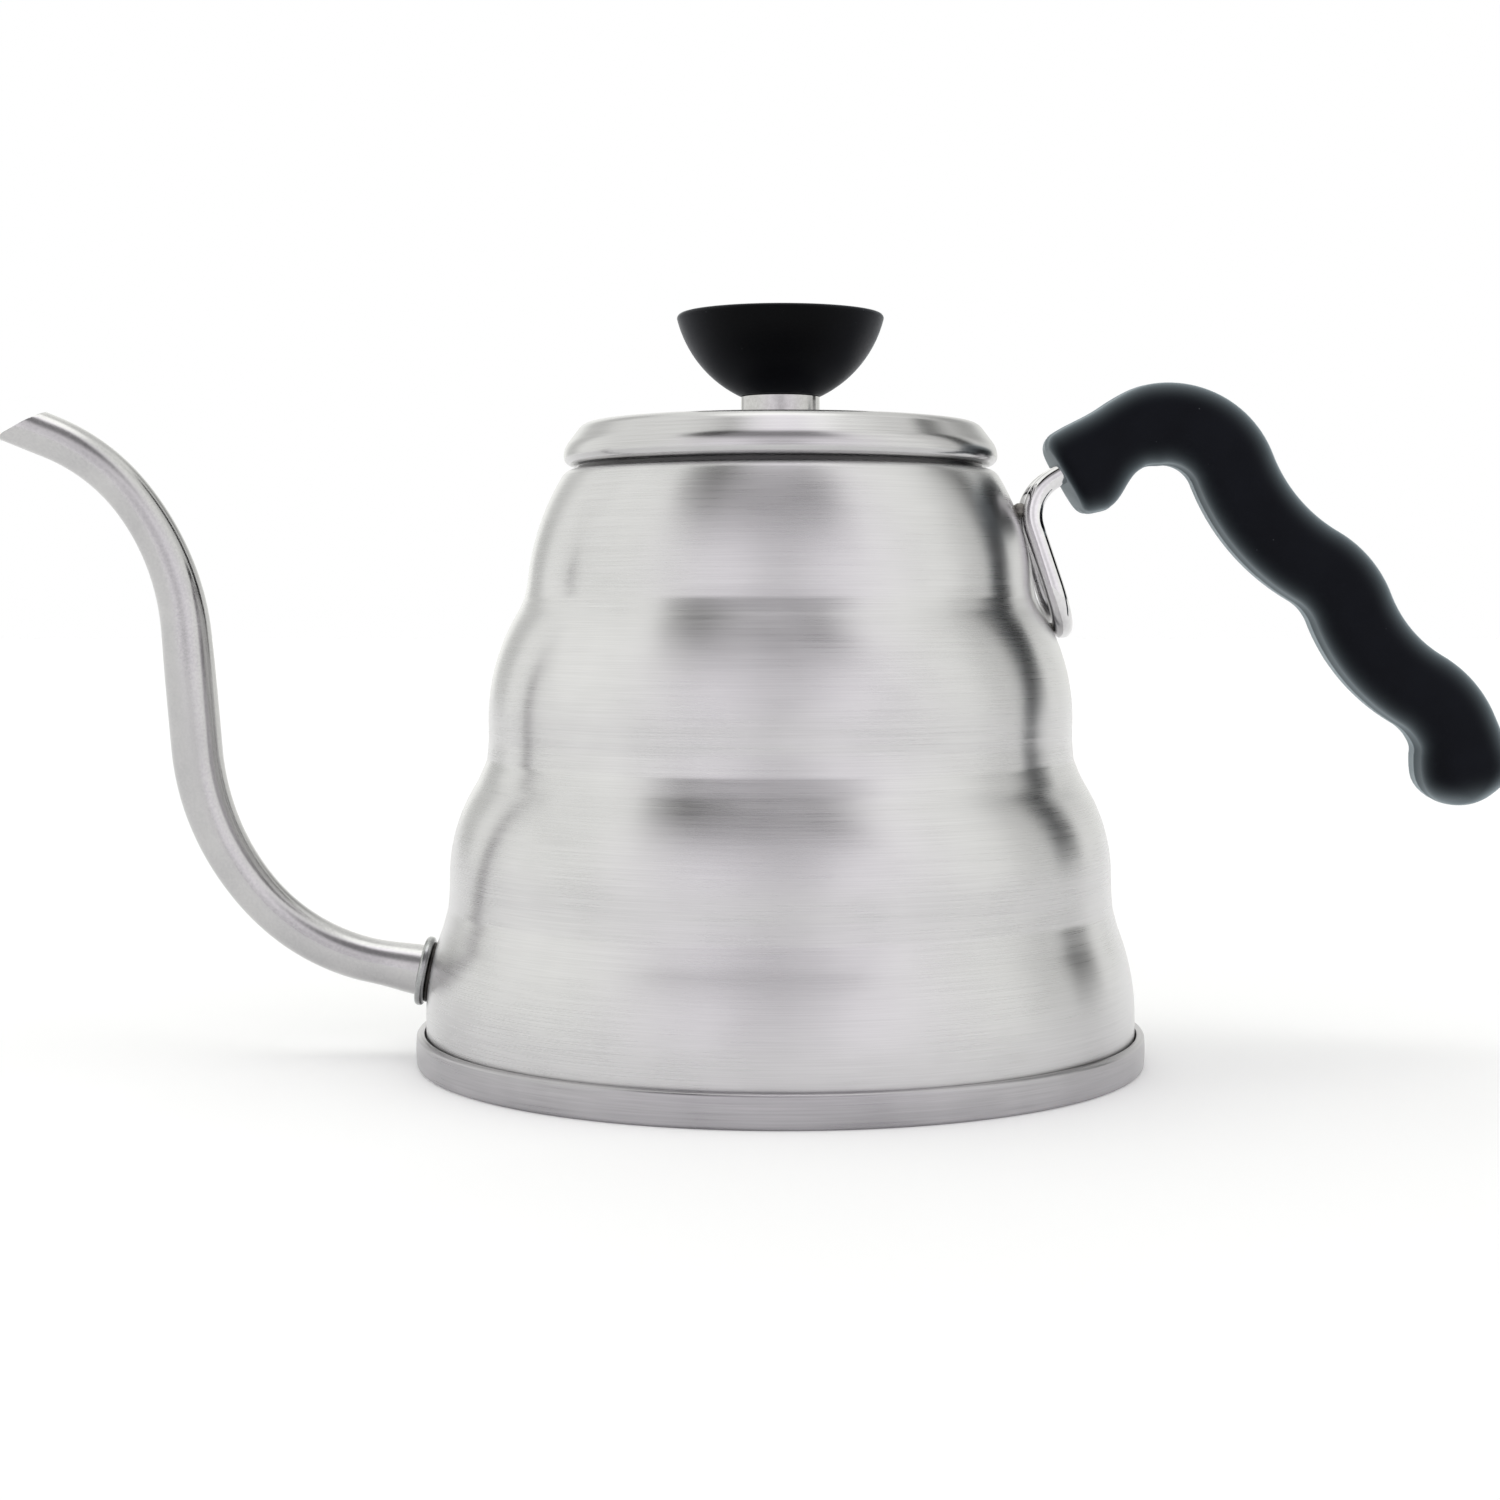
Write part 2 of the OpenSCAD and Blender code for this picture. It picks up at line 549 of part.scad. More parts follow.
screw_end = knob_z + insert_l - 1.5;
module knob_insert() color("goldenrod") translate([0, 0, knob_z]) difference() {
    cylinder(r = insert_r, h = insert_l);
    translate([0, 0, -cut]) cylinder(r = screw_d / 2 + fit_gap, h = insert_l - 1 + cut);
}

washer_t = 0.8;
washer_r = screw_d / 2 + 3;
washer_z = lid_top_z - lid_t - washer_t;
module knob_washer() color("gainsboro") translate([0, 0, washer_z]) difference() {
    cylinder(r = washer_r, h = washer_t);
    translate([0, 0, -cut]) cylinder(r = screw_d / 2 + fit_gap, h = washer_t + 2 * cut);
}

head_h = 2.4;
head_r = screw_d;
slot_w = 0.9;
module knob_screw() color("lightgray") difference() {
    union() {
        translate([0, 0, washer_z - head_h]) cylinder(r1 = head_r - 0.8, r2 = head_r, h = head_h);
        translate([0, 0, washer_z - 0.1]) cylinder(r = screw_d / 2, h = screw_end - washer_z + 0.1);
    }
    for (turn = [0, 90]) rotate([0, 0, turn])
        translate([-head_r * 0.6, -slot_w / 2, washer_z - head_h - cut])
            cube([head_r * 1.2, slot_w, cut + 1.5]);
}

body_shell();
base_plate();
foot_ring();
base_seal();
spout_tube();
spout_flange();
spout_weld();
handle_wire();
handle_welds();
handle_grip();
lid_cover();
lid_skirt();
knob_collar();
knob();
knob_insert();
knob_screw();
knob_washer();
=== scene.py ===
from math import asin, atan2, ceil, copysign, cos, degrees, hypot, pi, radians, sin, sqrt

import bmesh
import bpy
from mathutils import Matrix, Vector


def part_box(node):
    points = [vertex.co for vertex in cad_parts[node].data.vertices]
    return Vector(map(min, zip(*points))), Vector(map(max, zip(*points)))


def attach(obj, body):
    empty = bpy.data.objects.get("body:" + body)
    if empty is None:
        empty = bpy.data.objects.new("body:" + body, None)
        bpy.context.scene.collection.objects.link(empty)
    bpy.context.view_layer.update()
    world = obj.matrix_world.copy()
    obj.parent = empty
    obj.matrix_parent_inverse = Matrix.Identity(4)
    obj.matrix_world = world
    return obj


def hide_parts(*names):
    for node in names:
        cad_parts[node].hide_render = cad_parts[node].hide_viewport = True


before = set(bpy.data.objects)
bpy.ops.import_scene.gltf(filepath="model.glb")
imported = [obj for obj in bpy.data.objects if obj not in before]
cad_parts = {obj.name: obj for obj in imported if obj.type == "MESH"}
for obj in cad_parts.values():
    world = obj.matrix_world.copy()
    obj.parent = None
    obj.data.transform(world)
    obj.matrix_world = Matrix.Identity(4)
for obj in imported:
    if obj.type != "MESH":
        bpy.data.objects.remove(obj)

scene = bpy.context.scene
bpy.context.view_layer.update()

# ---- Camera ----
# A portrait lens half a metre in front of the kettle's axis, level with the lid's rim and
# tipped a little down, so that the foot shows its curve and the lid is seen edge on.
camera = bpy.data.objects.new("camera", bpy.data.cameras.new("camera"))
camera.data.sensor_width = 36
camera.data.lens = 60.4
camera.data.clip_start = 0.01
camera.location = (-0.00596, -0.49845, 0.09033)
camera.rotation_euler = (radians(86.67), 0, 0)
scene.collection.objects.link(camera)
scene.camera = camera

# ---- Studio ----
# A white table in a white tent of diffusing cloth, lit evenly from outside. A few grey and
# black cards hang round it, which give steel its dark lines.
scene.view_settings.view_transform = "Standard"


def add(tree, kind, given=None, **settings):
    """Add a node; given maps its inputs, by name or number, to values, sockets or nodes."""
    node = tree.nodes.new(kind)
    for name, value in settings.items():
        setattr(node, name, value)
    for name, value in (given or {}).items():
        socket = next(s for k, s in enumerate(node.inputs) if s.enabled and name in (s.name, k))
        if isinstance(value, bpy.types.Node):
            value = next(output for output in value.outputs if output.enabled)
        if isinstance(value, bpy.types.NodeSocket):
            tree.links.new(value, socket)
        else:
            socket.default_value = value
    return node


def linear(hex_colour):
    """An sRGB hex colour as linear RGBA."""
    shares = [int(hex_colour[k:k + 2], 16) / 255 for k in (1, 3, 5)]
    return [s / 12.92 if s <= 0.04045 else ((s + 0.055) / 1.055) ** 2.4 for s in shares] + [1]


tent = bpy.data.worlds.new("light_tent")
scene.world = tent
tent.use_nodes = True
sky = tent.node_tree
sky.nodes.clear()
way = add(sky, "ShaderNodeSeparateXYZ", {0: add(sky, "ShaderNodeTexCoord").outputs["Generated"]})
forward = add(sky, "ShaderNodeMath", {0: way.outputs["Y"], 1: -1.0}, operation="MULTIPLY")
turn = add(sky, "ShaderNodeMath", {0: way.outputs["X"], 1: forward}, operation="ARCTAN2")
rise = add(sky, "ShaderNodeMath", {0: way.outputs["Z"]}, operation="ARCSINE")


def within(value, middle, half, soft):
    """1 within half of the middle and 0 outside, with a soft edge; all in degrees."""
    apart = add(sky, "ShaderNodeMath", {0: value, 1: radians(middle)}, operation="SUBTRACT")
    apart = add(sky, "ShaderNodeMath", {0: apart}, operation="ABSOLUTE")
    return add(sky, "ShaderNodeMapRange",
               {"Value": apart, "From Min": radians(half - soft), "From Max": radians(half + soft),
                "To Min": 1.0, "To Max": 0.0}, interpolation_type="SMOOTHSTEP")


# Each card: its turn from the camera's side and half width, its rise and half height and the
# softness of its edge, all in degrees, and the share of light that it takes. The last one is
# a lamp over the tent, which gives light instead.
CARDS = [(118, 9, 26, 22, 2, 1.0), (148, 12, 30, 12, 8, 0.5), (98, 10, 10, 50, 10, 0.25),
         (155, 22, 10, 60, 10, 0.18), (-146, 10, 10, 40, 5, 0.4), (0, 14, 0, 30, 12, 0.25),
         (-8, 44, 54, 18, 12, 0.74), (-53, 14, 58, 15, 3, 1.0), (0, 200, 90, 18, 5, -0.6)]
CLOTH_GLOW = 1.24
FRONT_HALF, FRONT_SOFT = 50, 30
light = CLOTH_GLOW
for card_turn, card_w, card_rise, card_h, soft, taken in CARDS:
    card = add(sky, "ShaderNodeMath", {0: within(turn, card_turn, card_w, soft),
                                       1: within(rise, card_rise, card_h, soft)}, operation="MULTIPLY")
    left = add(sky, "ShaderNodeMath", {0: card, 1: -taken, 2: 1.0}, operation="MULTIPLY_ADD")
    light = add(sky, "ShaderNodeMath", {0: left, 1: light}, operation="MULTIPLY")
tint = add(sky, "ShaderNodeMix", {"Factor": within(turn, 0, FRONT_HALF, FRONT_SOFT), "A": linear("#FDFEFA"),
                                  "B": linear("#FEFBFF")}, data_type="RGBA")
cloth = add(sky, "ShaderNodeBackground", {"Color": tint, "Strength": light})
backdrop = add(sky, "ShaderNodeBackground", {"Color": (1, 1, 1, 1), "Strength": 1.0})
seen = add(sky, "ShaderNodeMixShader",
           {0: add(sky, "ShaderNodeLightPath").outputs["Is Camera Ray"], 1: cloth, 2: backdrop})
add(sky, "ShaderNodeOutputWorld", {"Surface": seen})

FLOOR_HALF = 6.0
TABLE_GLOW = 0.11
floor_corners = [(x * FLOOR_HALF, y * FLOOR_HALF, 0) for x, y in ((-1, -1), (1, -1), (1, 1), (-1, 1))]
floor_mesh = bpy.data.meshes.new("table_top")
floor_mesh.from_pydata(floor_corners, [], [(0, 1, 2, 3)])
table_paint = bpy.data.materials.new("white_table_paint")
table_paint.use_nodes = True
paint = table_paint.node_tree.nodes["Principled BSDF"].inputs
paint["Base Color"].default_value = linear("#F4F4F5")
paint["Roughness"].default_value = 0.9
paint["Emission Color"].default_value = (1, 1, 1, 1)
paint["Emission Strength"].default_value = TABLE_GLOW
floor_mesh.materials.append(table_paint)
floor = bpy.data.objects.new("table_top", floor_mesh)
scene.collection.objects.link(floor)

# ---- Body shell ----
# The vessel: one sheet of stainless steel, drawn and spun into four stepped tiers, with the
# mouth turned in at the top and a flange turned out at the foot for the seam. It is brushed
# on the lathe, so the scratches run round it.
MM = 0.001
SHEET = 0.8


def box_mm(node):
    """Lowest and highest corners of a CAD node, in millimetres."""
    return [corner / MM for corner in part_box(node)]


def toward(heading):
    return Vector((cos(radians(heading)), sin(radians(heading))))


def left_of(heading):
    return toward(heading + 90)


def path(start, heading, stretches, step=1.0):
    """Points (x, z, heading) of stretches that follow each other: (length, 0) or (radius, turn)."""
    line = [(start[0], start[1], heading)]
    for size, bend in stretches:
        here = Vector(line[-1][:2])
        heading = line[-1][2]
        if bend == 0:
            count = ceil(size / step)
            run = [(*(here + toward(heading) * size * k / count), heading) for k in range(1, count + 1)]
        else:
            count = max(ceil(size * radians(abs(bend)) / step), ceil(abs(bend) / 8))
            side = copysign(size, bend)
            hub = here + side * left_of(heading)
            run = [(*(hub - side * left_of(heading + bend * k / count)), heading + bend * k / count)
                   for k in range(1, count + 1)]
        line += run
    return line


def shifted(line, by):
    """The line moved to its left."""
    return [(*(Vector((x, z)) + by * left_of(heading)), heading) for x, z, heading in line]


def flat(line):
    return [(x, z) for x, z, heading in line]


def smooth(piece, sharp_from=35):
    piece.data.shade_smooth()
    piece.data.set_sharp_from_angle(angle=radians(sharp_from))


def made(name, vertices, faces, material, place=Matrix()):
    """A piece at the origin from vertices in millimetres."""
    mesh = bpy.data.meshes.new(name)
    mesh.from_pydata([place @ (Vector(v) * MM) for v in vertices], [], faces)
    mesh.materials.append(material)
    piece = bpy.data.objects.new(name, mesh)
    scene.collection.objects.link(piece)
    smooth(piece)
    return piece


def turned(name, outline, material, around=256, place=Matrix()):
    """A closed outline of (r, z) points, counter-clockwise, turned round the z axis."""
    vertices, rings = [], []
    for r, z in outline:
        count = around if r > 1e-6 else 1
        rings.append([len(vertices) + k % count for k in range(around)])
        vertices += [(r * cos(radians(360 * k / around)), r * sin(radians(360 * k / around)), z)
                     for k in range(count)]
    faces = []
    for low, high in zip(rings, rings[1:] + rings[:1]):
        for k in range(around):
            n = (k + 1) % around
            corners = list(dict.fromkeys((low[k], low[n], high[n], high[k])))
            if len(corners) > 2:
                faces.append(corners)
    return made(name, vertices, faces, material, place)


def settled(piece):
    """Apply the piece's modifiers to its mesh."""
    mesh = bpy.data.meshes.new_from_object(piece.evaluated_get(bpy.context.evaluated_depsgraph_get()))
    piece.modifiers.clear()
    piece.data = mesh
    mesh.name = piece.name
    return piece


def drilled(piece, centre, axis, radius, length, sides=64):
    """Cut a round hole through the piece, centred at a point in millimetres."""
    turn_to_axis = Vector(axis).to_track_quat("Z", "Y").to_matrix().to_4x4()
    place = Matrix.Translation(Vector(centre) * MM) @ turn_to_axis
    drill = turned("drill", [(0, -length / 2), (radius, -length / 2), (radius, length / 2), (0, length / 2)],
                   piece.data.materials[0], sides, place)
    hole = piece.modifiers.new("hole", "BOOLEAN")
    hole.object = drill
    hole.operation = "DIFFERENCE"
    hole.solver = "EXACT"
    settled(piece)
    bpy.data.objects.remove(drill)
    smooth(piece)
    return piece


def new_material(name):
    """A material with its node tree, its shader and the coordinates of the object."""
    material = bpy.data.materials.new(name)
    material.use_nodes = True
    tree = material.node_tree
    return material, tree, tree.nodes["Principled BSDF"], add(tree, "ShaderNodeTexCoord").outputs["Object"]


def noise(tree, place, size_mm, detail):
    return add(tree, "ShaderNodeTexNoise", {"Vector": place, "Scale": 1 / (size_mm * MM), "Detail": detail})


def summed(tree, fine, coarse):
    """Two noises added; the sum lies round 1."""
    return add(tree, "ShaderNodeMath", {0: fine.outputs[0], 1: coarse.outputs[0]}, operation="ADD")


def ranged(tree, mixed, reach, low=0.0, high=1.0):
    """The summed noises, from reach below 1 to reach above it, as a value from low to high."""
    return add(tree, "ShaderNodeMapRange", {"Value": mixed, "From Min": 1 - reach, "From Max": 1 + reach,
                                            "To Min": low, "To Max": high})


def blended(tree, share, dark, light):
    """The colour between two; a colour is an sRGB hex or a node."""
    ends = [linear(end) if isinstance(end, str) else end for end in (dark, light)]
    return add(tree, "ShaderNodeMix", {"Factor": share, "A": ends[0], "B": ends[1]}, data_type="RGBA")


def bump(tree, height, depth_mm):
    return add(tree, "ShaderNodeBump", {"Height": height.outputs[0], "Distance": depth_mm * MM})


def link_to(tree, shader, nodes):
    """Link each node to the shader's input of its name."""
    for name, node in nodes.items():
        output = next(output for output in node.outputs if output.enabled)
        tree.links.new(output, shader.inputs[name])


# Stainless steel sheet, brushed with 180 grit on the lathe: scratches about 0.25 mm apart run
# round the axis, so highlights are drawn out up and down the wall
def brushed_steel(name, dark, light, low, high, spread, line_mm=0.25, run_mm=22, depth_mm=0.004):
    material, tree, shader, place = new_material(name)
    part = add(tree, "ShaderNodeSeparateXYZ", {0: place})
    across = add(tree, "ShaderNodeCombineXYZ", {"X": part.outputs["X"], "Y": part.outputs["Y"]})
    radius = add(tree, "ShaderNodeVectorMath", {0: across}, operation="LENGTH").outputs["Value"]
    height = add(tree, "ShaderNodeMath", {0: part.outputs["Z"], 1: radius}, operation="SUBTRACT")
    run = 1 / (run_mm * MM)
    long_way = add(tree, "ShaderNodeVectorMath", {0: across, 1: (run, run, 0)}, operation="MULTIPLY")
    short_way = add(tree, "ShaderNodeMath", {0: height, 1: 1 / (line_mm * MM)}, operation="MULTIPLY")
    lines_at = add(tree, "ShaderNodeVectorMath",
                   {0: long_way, 1: add(tree, "ShaderNodeCombineXYZ", {"Z": short_way})}, operation="ADD")
    lines = add(tree, "ShaderNodeTexNoise",
                {"Vector": lines_at, "Scale": 1.0, "Detail": 3.0, "Roughness": 0.65})
    drifts = add(tree, "ShaderNodeTexNoise", {"Vector": place, "Scale": 45.0, "Detail": 2.0})
    mixed = summed(tree, lines, drifts)
    link_to(tree, shader, {"Base Color": blended(tree, ranged(tree, mixed, 0.3), dark, light),
                           "Roughness": ranged(tree, mixed, 0.3, low, high),
                           "Normal": bump(tree, lines, depth_mm),
                           "Tangent": add(tree, "ShaderNodeTangent", direction_type="RADIAL", axis="Z")})
    shader.inputs["Metallic"].default_value = 1.0
    shader.inputs["Anisotropic"].default_value = spread
    shader.inputs["Anisotropic Rotation"].default_value = 0.25
    return material


body_steel = brushed_steel("brushed_stainless_body", "#BEBDBE", "#D0CFD0", 0.25, 0.33, 0.78)

body_top = box_mm("body_shell")[1].z
SHOULDER_DROP = 26.4
TIER_PITCHES = (27.6, 30.6, 22.4)
TIER_RADII = (70, 65.2, 57.5, 49.9)
TIER_CURVES = (45.8, 33.4, 40.6, 48.2)
WAIST_CURVES = (32.7, 20, 16.2)
SHOULDER_ROLL = 3
LAND = 1.2
NECK_BEND = 1.6
NECK_DEPTH = 5


def direction(v):
    return degrees(atan2(v.y, v.x))


def arc(hub, radius, start, end, steps=16):
    """Points of an arc from one direction to another, with the headings of travel."""
    quarter = copysign(90, end - start)
    turns = [start + (end - start) * k / steps for k in range(steps + 1)]
    return [(*(hub + radius * toward(a)), a + quarter) for a in turns]


HOLLOW_RUN = 0.3


def creased(start, end, heading, end_heading, crease=0.5, steps=72):
    """Points of a waist between two tiers: hollow at both ends, with a crisp crease halfway."""
    chord = end - start
    turns = []
    for k in range(steps + 1):
        # Each end's hollow and each half of the crease take a quarter of the whole turn
        near = min(k, steps - k) / steps
        share = (1 - cos(pi * min(1, near / HOLLOW_RUN))) / 8
        share += max(0, (near - 0.5) * chord.length / crease + 1) / 4
        turns.append(heading + (end_heading - heading) * (share if 2 * k < steps else 1 - share))
    reach = sum((toward(h) for h in turns), Vector((0, 0)))
    step = chord.length / reach.length
    here = start - 0.5 * step * toward(turns[0])
    line = []
    for h in turns:
        here = here + step * toward(h)
        line.append((*(here - 0.5 * step * toward(h)), h))
    return line


tier_heights = [body_top - SHOULDER_DROP - sum(TIER_PITCHES[k:]) for k in range(4)]
tier_hubs = [Vector((r - curve, z)) for r, z, curve in zip(TIER_RADII, tier_heights, TIER_CURVES)]
shoulder_turn = degrees(asin((SHOULDER_DROP - SHOULDER_ROLL) / (TIER_CURVES[3] - SHOULDER_ROLL)))
roll_hub = tier_hubs[3] + (TIER_CURVES[3] - SHOULDER_ROLL) * toward(shoulder_turn)
mouth_r = roll_hub.x - LAND - NECK_BEND

wall_line = []
arc_from = 0
for k in range(3):
    # The waist's hub lies outside, where its fillet touches the tiers below and above
    below, above = TIER_CURVES[k] + WAIST_CURVES[k], TIER_CURVES[k + 1] + WAIST_CURVES[k]
    gap = tier_hubs[k + 1] - tier_hubs[k]
    along = (below ** 2 - above ** 2 + gap.length_squared) / (2 * gap.length)
    u = gap.normalized()
    waist_hub = tier_hubs[k] + along * u + sqrt(below ** 2 - along ** 2) * Vector((u.y, -u.x))
    arc_to = direction(waist_hub - tier_hubs[k])
    wall_line += arc(tier_hubs[k], TIER_CURVES[k], arc_from, arc_to)
    waist_end = direction(tier_hubs[k + 1] - waist_hub) % 360
    waist_from, waist_to = (waist_hub - WAIST_CURVES[k] * toward(a) for a in (arc_to, waist_end - 180))
    wall_line += creased(waist_from, waist_to, arc_to + 90, waist_end - 90)[1:-1]
    arc_from = waist_end - 180
wall_line += arc(tier_hubs[3], TIER_CURVES[3], arc_from, shoulder_turn)
wall_line += arc(roll_hub, SHOULDER_ROLL, shoulder_turn, 90, 8)[1:]
wall_line += path((mouth_r + NECK_BEND, body_top), 180, [(NECK_BEND, 90), (NECK_DEPTH - NECK_BEND, 0)], 9)

plate_t = box_mm("base_plate")[1].z
flange_r = box_mm("base_plate")[1].x
body_r = TIER_RADII[0]
body = turned("kettle_body",
              [(flange_r, plate_t), (flange_r, plate_t + SHEET), (body_r, plate_t + SHEET)] + flat(wall_line)
              + flat(shifted(wall_line, SHEET))[::-1] + [(body_r - SHEET, plate_t)], body_steel)

SPOUT_ROOT_Z = 17.0
SPOUT_LIFT = 1.6
SPOUT_ROOT_D = 10.2
FIT_GAP = 0.05
root_slope = degrees(asin((SPOUT_ROOT_Z - tier_heights[0]) / TIER_CURVES[0]))
root_heading = root_slope + SPOUT_LIFT
root_x = tier_hubs[0].x + TIER_CURVES[0] * cos(radians(root_slope))
root_axis = Vector((-cos(radians(root_heading)), 0, sin(radians(root_heading))))
drilled(body, (-root_x, 0, SPOUT_ROOT_Z), root_axis, SPOUT_ROOT_D / 2 + FIT_GAP, 8)
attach(body, "kettle")
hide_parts("body_shell")

# ---- Foot: ring, bottom plate and seam ----
# The bottom is a disc of the same steel. A band of steel is rolled over its edge and over the
# shell's flange with sealing compound between them, and is brushed more coarsely than the body.
ring_steel = brushed_steel("brushed_stainless_foot", "#9E9C9F", "#B6B4B7", 0.26, 0.38, 0.6, line_mm=0.35)
ring_low, ring_high = box_mm("foot_ring")
RING_ROUND = 0.8
SEAM_GAP = 0.3
FACE_BOW = 0.12
LIP_W, LIP_IN, LIP_DROP = 0.4, 0.1, 0.12
ring_h = ring_high.z - ring_low.z
face_h = ring_h - 2 * RING_ROUND
face = [(ring_high.x - FACE_BOW + FACE_BOW * sin(radians(180 * k / 8)), RING_ROUND + face_h * k / 8)
        for k in range(1, 8)]
seam_r = body_r + SEAM_GAP
compound_top = box_mm("base_seal")[1].z
low_edge = path((ring_high.x - FACE_BOW - RING_ROUND, 0), 0, [(RING_ROUND, 90)], 0.2)
high_edge = path((ring_high.x - FACE_BOW, ring_h - RING_ROUND), 90, [(RING_ROUND, 90)], 0.2)
ring = turned("foot_ring_band",
              [(flange_r, 0)] + flat(low_edge) + face + flat(high_edge)
              + [(seam_r + LIP_W, ring_h), (seam_r + LIP_IN, ring_h - LIP_DROP), (seam_r, ring_h - LIP_W),
                 (seam_r, compound_top), (flange_r, compound_top)], ring_steel)
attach(ring, "kettle")
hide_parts("foot_ring")

plate_steel = brushed_steel("brushed_stainless_plate", "#A5A4A6", "#BDBCBE", 0.24, 0.34, 0.5, line_mm=0.5)
STEP_INNER_R, STEP_OUTER_R, STEP_DEPTH, STEP_SLOPE = 30, 58, 0.3, 0.6
plate = turned("bottom_plate",
               [(0, 0), (STEP_INNER_R, 0), (STEP_INNER_R + STEP_SLOPE, STEP_DEPTH),
                (STEP_OUTER_R - STEP_SLOPE, STEP_DEPTH), (STEP_OUTER_R, 0), (flange_r, 0),
                (flange_r, plate_t), (0, plate_t)], plate_steel)
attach(plate, "kettle")
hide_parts("base_plate")


def dress(node, material):
    """Give a CAD node that stays its material."""
    node_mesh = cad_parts[node].data
    node_mesh.materials.clear()
    node_mesh.materials.append(material)


# Cured sealing compound, squeezed into the seam: dull dark grey with a faint uneven skin
def sealing_compound(name, dark, light):
    material, tree, shader, place = new_material(name)
    skin = noise(tree, place, 1.5, 3.0)
    link_to(tree, shader, {"Base Color": blended(tree, skin.outputs[0], dark, light),
                           "Normal": bump(tree, skin, 0.05)})
    shader.inputs["Roughness"].default_value = 0.7
    return material


dress("base_seal", sealing_compound("cured_seam_compound", "#2B2A29", "#454341"))

# ---- Spout ----
# A thin stainless tube, swaged to a narrower tip and bent on formers into its swan's neck,
# cut on a slant at the tip and polished to a soft satin along its length.
BEND_HEADINGS = (48, 85.5, 52, 22)
BEND_RADII = (40.9, 50, 50, 38)
SPOUT_ROOT_L = 11.2
SPOUT_TIP_L = 6
SPOUT_OVER = 8.8
SPOUT_WALL = 0.7
SPOUT_D = {"root": 10.2, "low": 8.8, "mid": 10, "tip": 8.5}
SPOUT_TAIL = 1.2
TIP_CUT = 29
LIP_EDGE = 0.12
headings = (root_heading,) + BEND_HEADINGS


def rise_of(radius, start, end):
    return radius * abs(cos(radians(end)) - cos(radians(start)))


climbs = [rise_of(r, a, b) for r, a, b in zip(BEND_RADII, headings, headings[1:])]
riser = (body_top + SPOUT_OVER - SPOUT_ROOT_Z - SPOUT_ROOT_L * sin(radians(root_heading)) - sum(climbs)
         - SPOUT_TIP_L * sin(radians(BEND_HEADINGS[3]))) / sin(radians(BEND_HEADINGS[1]))
bends = [(r, b - a) for r, a, b in zip(BEND_RADII, headings, headings[1:])]
tail = Vector((root_x, SPOUT_ROOT_Z)) - SPOUT_TAIL * toward(root_heading)
neck_line = path(tail, root_heading,
                 [(SPOUT_TAIL + SPOUT_ROOT_L, 0)] + bends[:2] + [(riser, 0)] + bends[2:] + [(SPOUT_TIP_L, 0)])
tip_x, tip_z, tip_heading = neck_line[-1]
SPARE_L = 1.2 * SPOUT_D["tip"]
spout_line = neck_line + path((tip_x, tip_z), tip_heading, [(SPARE_L, 0)])[1:]


def lengths(line):
    """Distance along the line at each of its points."""
    run = [0]
    for here, after in zip(line, line[1:]):
        run.append(run[-1] + hypot(after[0] - here[0], after[1] - here[1]))
    return run


def eased(s, stations):
    """Value at s, easing between stations of (place, value)."""
    if s <= stations[0][0]:
        return stations[0][1]
    for (s0, v0), (s1, v1) in zip(stations, stations[1:]):
        if s < s1:
            share = (1 - cos(radians(180 * (s - s0) / (s1 - s0)))) / 2
            return v0 + (v1 - v0) * share
    return stations[-1][1]


spout_run = [s - SPOUT_TAIL for s in lengths(spout_line)]
spout_l = spout_run[-1] - SPARE_L
spout_stations = [(0, SPOUT_D["root"]), (12, SPOUT_D["low"]), (31, SPOUT_D["low"]),
                  (0.5 * spout_l, SPOUT_D["mid"]), (0.55 * spout_l, SPOUT_D["mid"]),
                  (0.84 * spout_l, SPOUT_D["tip"] - 0.1), (spout_l, SPOUT_D["tip"])]


def tube_tree():
    """Geometry nodes that carry a circle along a line of vertices, with its corners rounded first."""
    tree = bpy.data.node_groups.new("tube_along_line", "GeometryNodeTree")
    for label, kind in (("Line", "Geometry"), ("Sides", "Int"), ("Corner Steps", "Int"),
                        ("Round Corners", "Bool"), ("Closed Ends", "Bool"), ("Steel", "Material")):
        tree.interface.new_socket(label, in_out="INPUT", socket_type="NodeSocket" + kind)
    tree.interface.new_socket("Tube", in_out="OUTPUT", socket_type="NodeSocketGeometry")
    sizes = add(tree, "NodeGroupInput").outputs
    line = add(tree, "GeometryNodeMeshToCurve", {"Mesh": sizes["Line"]})
    bend_r = add(tree, "GeometryNodeInputNamedAttribute", {"Name": "bend_radius"}, data_type="FLOAT")
    tube_r = add(tree, "GeometryNodeInputNamedAttribute", {"Name": "tube_radius"}, data_type="FLOAT")
    rounded = add(tree, "GeometryNodeFilletCurve", {"Curve": line, "Count": sizes["Corner Steps"],
                                                    "Radius": bend_r}, mode="POLY")
    chosen = add(tree, "GeometryNodeSwitch",
                 {"Switch": sizes["Round Corners"], "False": line, "True": rounded}, input_type="GEOMETRY")
    circle = add(tree, "GeometryNodeCurvePrimitiveCircle", {"Resolution": sizes["Sides"], "Radius": 1.0})
    tube = add(tree, "GeometryNodeCurveToMesh", {"Curve": chosen, "Profile Curve": circle, "Scale": tube_r,
                                                 "Fill Caps": sizes["Closed Ends"]})
    real = add(tree, "GeometryNodeRealizeInstances", {"Geometry": tube})
    steel = add(tree, "GeometryNodeSetMaterial", {"Geometry": real, "Material": sizes["Steel"]})
    add(tree, "NodeGroupOutput", {"Tube": steel})
    return tree


tubes = tube_tree()


